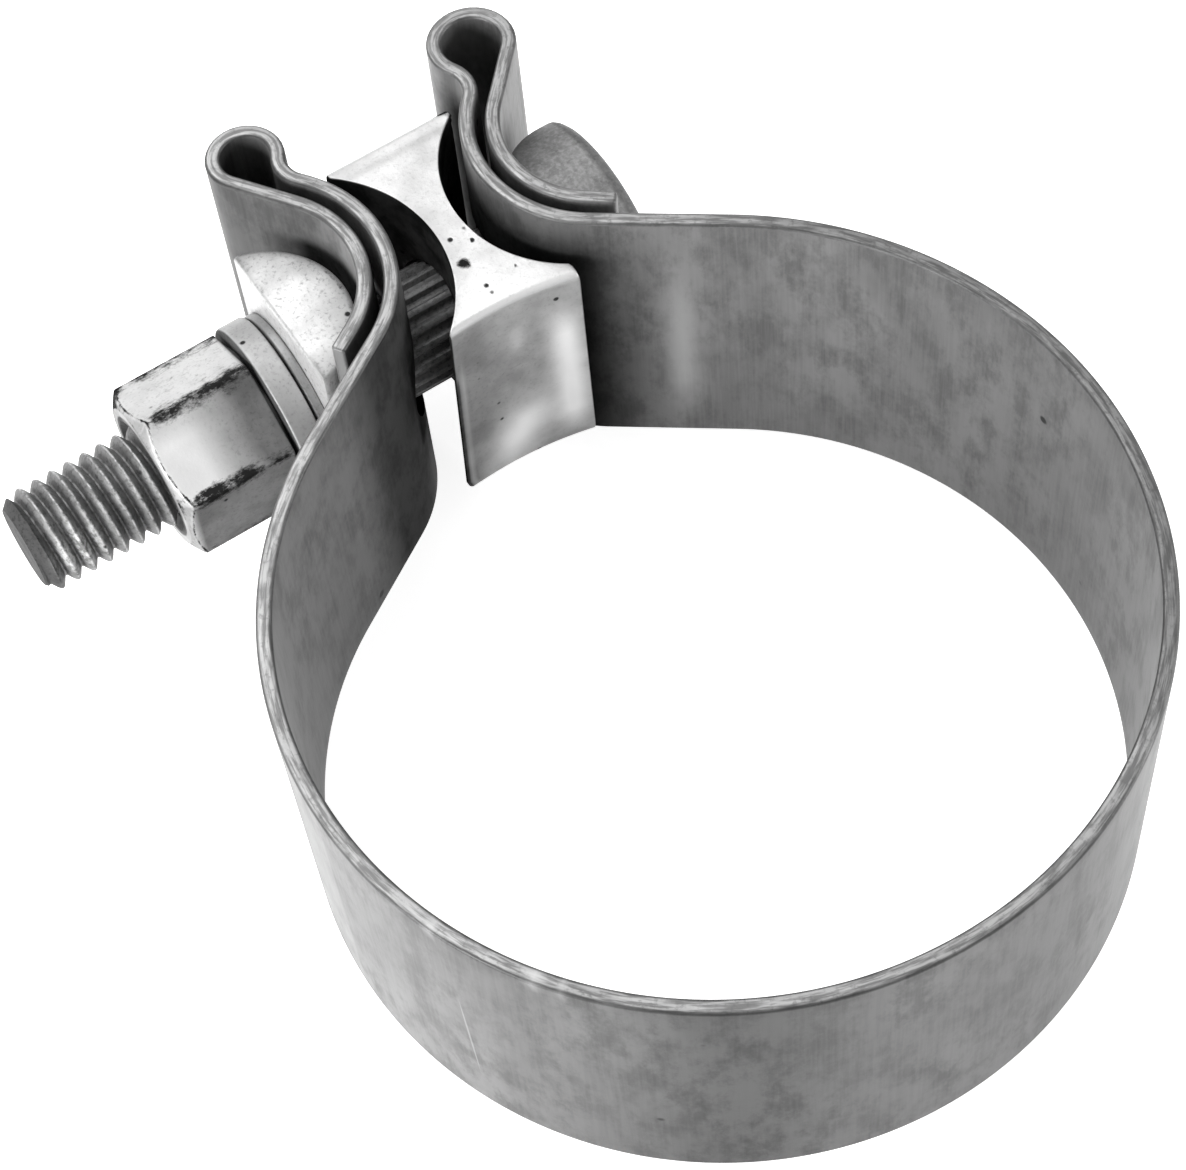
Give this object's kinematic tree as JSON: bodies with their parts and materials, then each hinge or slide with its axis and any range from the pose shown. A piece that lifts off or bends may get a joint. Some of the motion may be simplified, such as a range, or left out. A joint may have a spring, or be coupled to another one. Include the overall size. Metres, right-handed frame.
{
  "type": "exhaust band clamp",
  "caption": "Flat band clamp for an exhaust pipe: a ring with two folded ears, drawn together by a saddle-headed bolt, spacer block, end bar, washers and hex nut.",
  "frame": {"origin": "on the pipe's axis, level with the band's lower edge", "axes": "+Z along the pipe, +Y from the pipe to the ears, +X along the bolt from the nut to the bolt's head"},
  "size_m": [0.0786, 0.0987, 0.0318],
  "materials": {
    "band_steel": "dull rolled stainless steel with light handling marks",
    "bolt_steel": "dull zinc over forged and rolled steel",
    "bright_zinc": "bright zinc plate with dark pits and scuffed edges",
    "grey_steel": "plain grey steel"
  },
  "bodies": {
    "band_and_bolt": {"band": "band_steel", "bolt": "bolt_steel"},
    "draw_stack": {"end_bar": "bright_zinc", "thin_washer": "grey_steel", "thick_washer": "bright_zinc"},
    "nut_body": {"nut": "bright_zinc"},
    "block_body": {"spacer_block": "bright_zinc"}
  },
  "joints": [
    {"name": "draw_slide", "type": "slide", "parent": "band_and_bolt", "child": "draw_stack", "axis": [1, 0, 0], "range_m": [-0.012, 0.0036], "deforming": ["band"]},
    {"name": "nut_turn", "type": "hinge", "parent": "draw_stack", "child": "nut_body", "pos_m": [-0.0239, 0.045, 0.01588], "axis": [1, 0, 0], "range_deg": [-2721.26, 816.38]},
    {"name": "block_slide", "type": "slide", "parent": "band_and_bolt", "child": "block_body", "axis": [1, 0, 0], "range_m": [-0.00217, 0.00065]}
  ],
  "couplings": [
    {"joint": "nut_turn", "follows": "draw_slide", "rad_per_m": 3957.9},
    {"joint": "block_slide", "follows": "draw_slide", "ratio": 0.18056}
  ]
}
